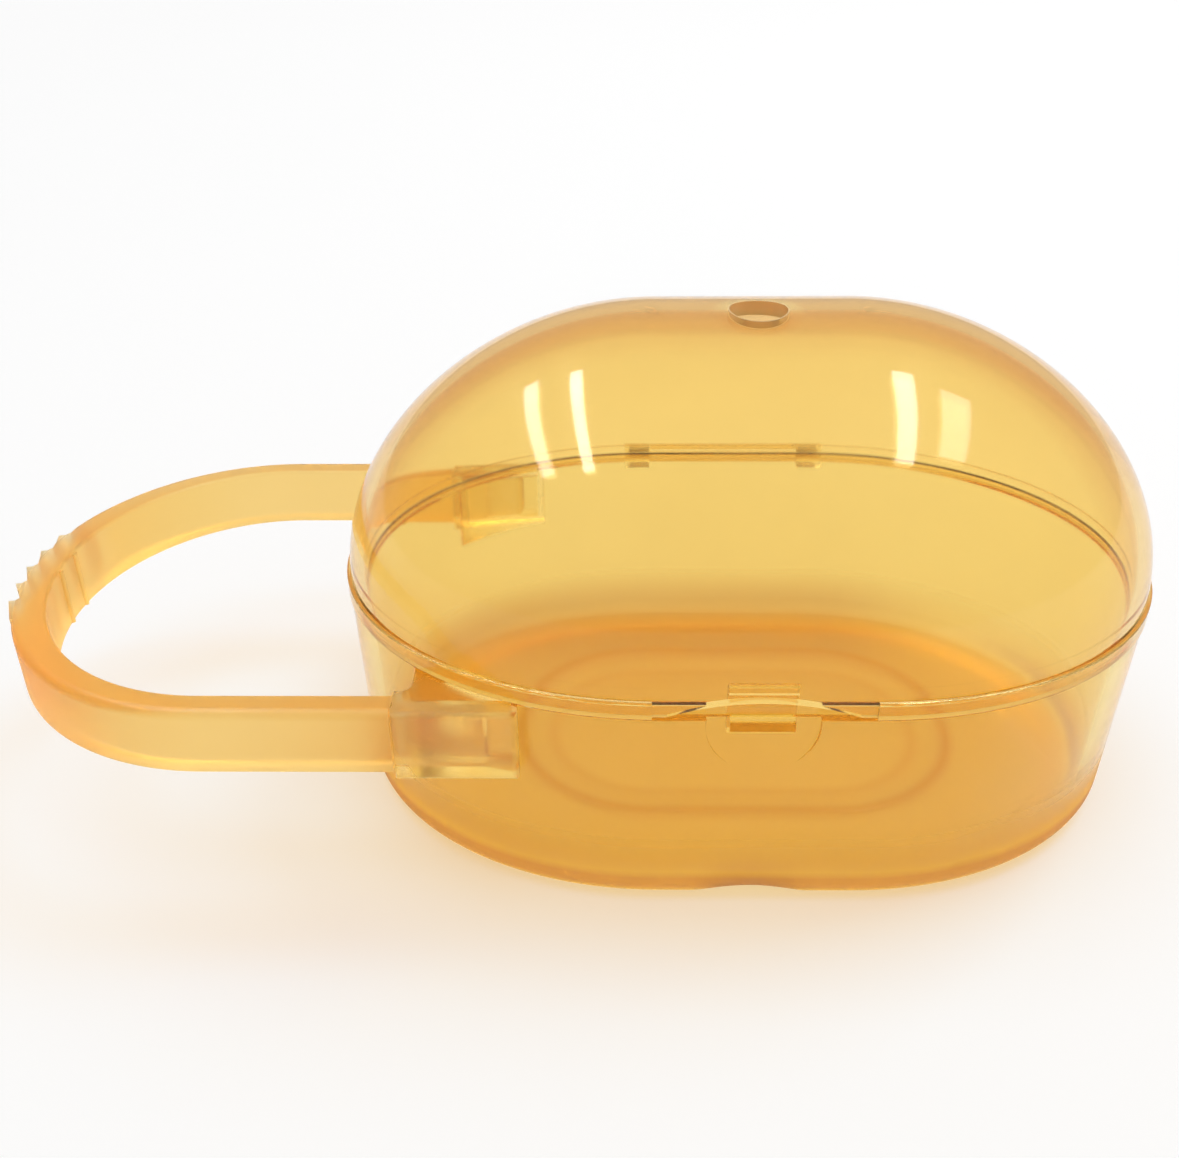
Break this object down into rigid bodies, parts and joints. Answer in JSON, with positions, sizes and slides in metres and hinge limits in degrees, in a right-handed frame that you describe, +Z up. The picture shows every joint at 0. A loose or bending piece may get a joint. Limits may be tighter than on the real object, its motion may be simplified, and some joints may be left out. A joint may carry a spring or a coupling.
{
  "type": "pacifier sterilizer case",
  "caption": "Oval amber plastic case with a hinged domed lid, snap latch, steam vent and bow handle, for carrying and sterilising a baby's pacifier.",
  "frame": {"origin": "middle of the foot ring, on the surface that the case stands on", "axes": "+Z up, +X along the case's length away from the handle, +Y towards the hinge, so the latch faces -Y"},
  "size_m": [0.1363, 0.0647, 0.0594],
  "materials": {
    "amber_shell": "clear amber moulded PPSU, polished, transparent",
    "amber_handle": "amber moulded plastic, slightly milky, translucent",
    "amber_pin": "clear amber plastic rod, as no metal may go into a microwave oven"
  },
  "bodies": {
    "base": {"base_shell": "amber_shell", "hinge_pin": "amber_pin"},
    "lid": {"lid_shell": "amber_shell"},
    "handle": {"handle_bow": "amber_handle"}
  },
  "joints": [
    {"name": "lid_hinge", "type": "hinge", "parent": "base", "child": "lid", "pos_m": [0, 0.03255, 0.0269], "axis": [-1, 0, 0], "range_deg": [0, 120]},
    {"name": "handle_pull", "type": "slide", "parent": "base", "child": "handle", "axis": [-1, 0, 0], "range_m": [0, 0.011]}
  ]
}
